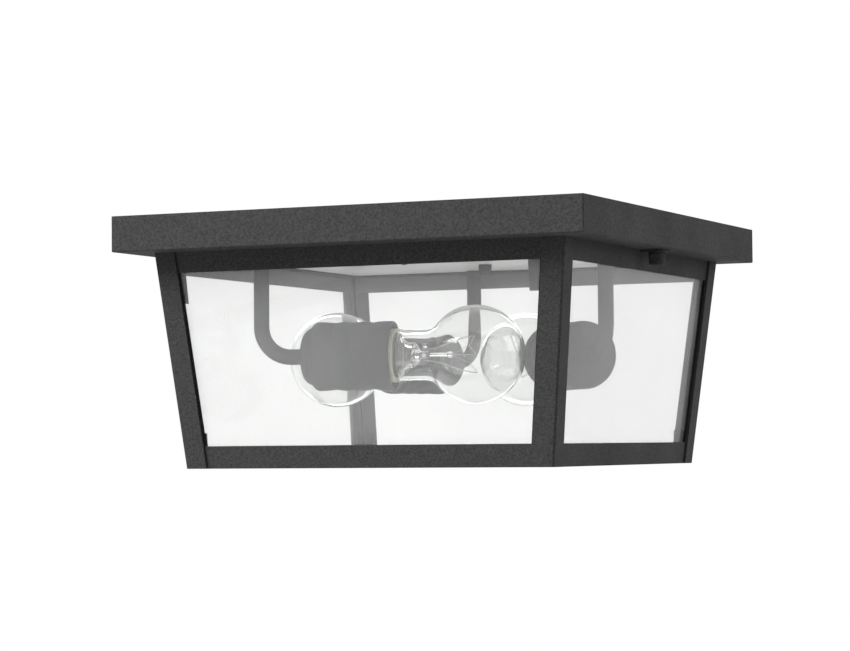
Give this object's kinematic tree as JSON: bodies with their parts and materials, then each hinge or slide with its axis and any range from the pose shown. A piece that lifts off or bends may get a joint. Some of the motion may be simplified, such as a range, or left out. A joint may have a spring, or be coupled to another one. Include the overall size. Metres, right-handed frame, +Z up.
{
  "type": "outdoor flush mount light",
  "caption": "Square flush mount porch light: flat ceiling canopy over a tapered black angle cage with clear glass panes, bent arms and bare bulbs in ringed sockets.",
  "frame": {"origin": "middle of the ceiling plane: the centre of the crossbar's top face, level with the canopy's top rim", "axes": "+Z up into the ceiling, +X towards the right thumb screw, +Y along the crossbar towards the back"},
  "size_m": [0.3048, 0.3048, 0.1524],
  "materials": {
    "black_coat": "fine sand-textured black powder coat",
    "black_rubber": "matte black rubber strip",
    "white_enamel": "satin white enamel on the reflector sheet",
    "zinc_steel": "bright zinc plating",
    "ground_green": "green ground screw",
    "brass": "plain stamped brass",
    "socket_cream": "cream glazed ceramic moulding",
    "pane_glass": "clear flat glass",
    "bulb_glass": "clear blown glass",
    "bulb_metal": "rolled thread shell",
    "bulb_base": "dark glass base insulator with a solder button",
    "filament_wire": "drawn tungsten and nickel wire"
  },
  "bodies": {
    "canopy": {"arm_lock_nuts": "zinc_steel", "arm_tube_1": "black_coat", "arm_tube_2": "black_coat", "arm_tube_3": "black_coat", "canopy_cap_nuts": "black_coat", "canopy_pan": "black_coat", "crossbar": "zinc_steel", "crossbar_studs": "zinc_steel", "ground_screw": "ground_green", "reflector_plate": "white_enamel", "screw_shell_1": "brass", "screw_shell_2": "brass", "screw_shell_3": "brass", "socket_contacts": "brass", "socket_cup_1": "black_coat", "socket_cup_2": "black_coat", "socket_cup_3": "black_coat", "socket_insulator_1": "socket_cream", "socket_insulator_2": "socket_cream", "socket_insulator_3": "socket_cream", "thumb_weld_nuts": "zinc_steel"},
    "cage": {"bottom_pane": "pane_glass", "bottom_rail_back": "black_coat", "bottom_rail_front": "black_coat", "bottom_rail_left": "black_coat", "bottom_rail_right": "black_coat", "corner_post_back_left": "black_coat", "corner_post_back_right": "black_coat", "corner_post_front_left": "black_coat", "corner_post_front_right": "black_coat", "pane_clips": "black_coat", "pane_gaskets": "black_rubber", "side_pane_back": "pane_glass", "side_pane_front": "pane_glass", "side_pane_left": "pane_glass", "side_pane_right": "pane_glass", "top_rail_back": "black_coat", "top_rail_front": "black_coat", "top_rail_left": "black_coat", "top_rail_right": "black_coat"},
    "bulb_1": {"bulb_cap_1": "bulb_metal", "bulb_contact_1": "bulb_base", "bulb_filament_1": "filament_wire", "bulb_glass_1": "bulb_glass", "bulb_stem_1": "bulb_glass"},
    "bulb_2": {"bulb_cap_2": "bulb_metal", "bulb_contact_2": "bulb_base", "bulb_filament_2": "filament_wire", "bulb_glass_2": "bulb_glass", "bulb_stem_2": "bulb_glass"},
    "bulb_3": {"bulb_cap_3": "bulb_metal", "bulb_contact_3": "bulb_base", "bulb_filament_3": "filament_wire", "bulb_glass_3": "bulb_glass", "bulb_stem_3": "bulb_glass"},
    "thumb_screw_left": {"thumb_screw_left": "black_coat"},
    "thumb_screw_right": {"thumb_screw_right": "black_coat"},
    "thumb_washer_left": {"thumb_washer_left": "black_coat"},
    "thumb_washer_right": {"thumb_washer_right": "black_coat"}
  },
  "joints": [
    {"name": "cage_drop", "type": "slide", "parent": "canopy", "child": "cage", "axis": [0, 0, -1], "range_m": [0, 0.12]},
    {"name": "thumb_slide_left", "type": "slide", "parent": "cage", "child": "thumb_washer_left", "axis": [0, 0, -1], "range_m": [0, 0.0048]},
    {"name": "thumb_turn_left", "type": "hinge", "parent": "thumb_washer_left", "child": "thumb_screw_left", "pos_m": [-0.1405, 0, -0.0275], "axis": [0, 0, -1], "range_deg": [0, 2160]},
    {"name": "thumb_slide_right", "type": "slide", "parent": "cage", "child": "thumb_washer_right", "axis": [0, 0, -1], "range_m": [0, 0.0048]},
    {"name": "thumb_turn_right", "type": "hinge", "parent": "thumb_washer_right", "child": "thumb_screw_right", "pos_m": [0.1405, 0, -0.0275], "axis": [0, 0, -1], "range_deg": [0, 2160]},
    {"name": "bulb_unscrew_1", "type": "slide", "parent": "canopy", "child": "bulb_1", "axis": [0.9751, 0.222, 0], "range_m": [0, 0.024]},
    {"name": "bulb_unscrew_2", "type": "slide", "parent": "canopy", "child": "bulb_2", "axis": [-0.6798, 0.7334, 0], "range_m": [0, 0.024]},
    {"name": "bulb_unscrew_3", "type": "slide", "parent": "canopy", "child": "bulb_3", "axis": [-0.2953, -0.9554, 0], "range_m": [0, 0.024]}
  ],
  "couplings": [
    {"joint": "thumb_turn_left", "follows": "thumb_slide_left", "rad_per_m": 7854},
    {"joint": "thumb_turn_right", "follows": "thumb_slide_right", "rad_per_m": 7854}
  ]
}
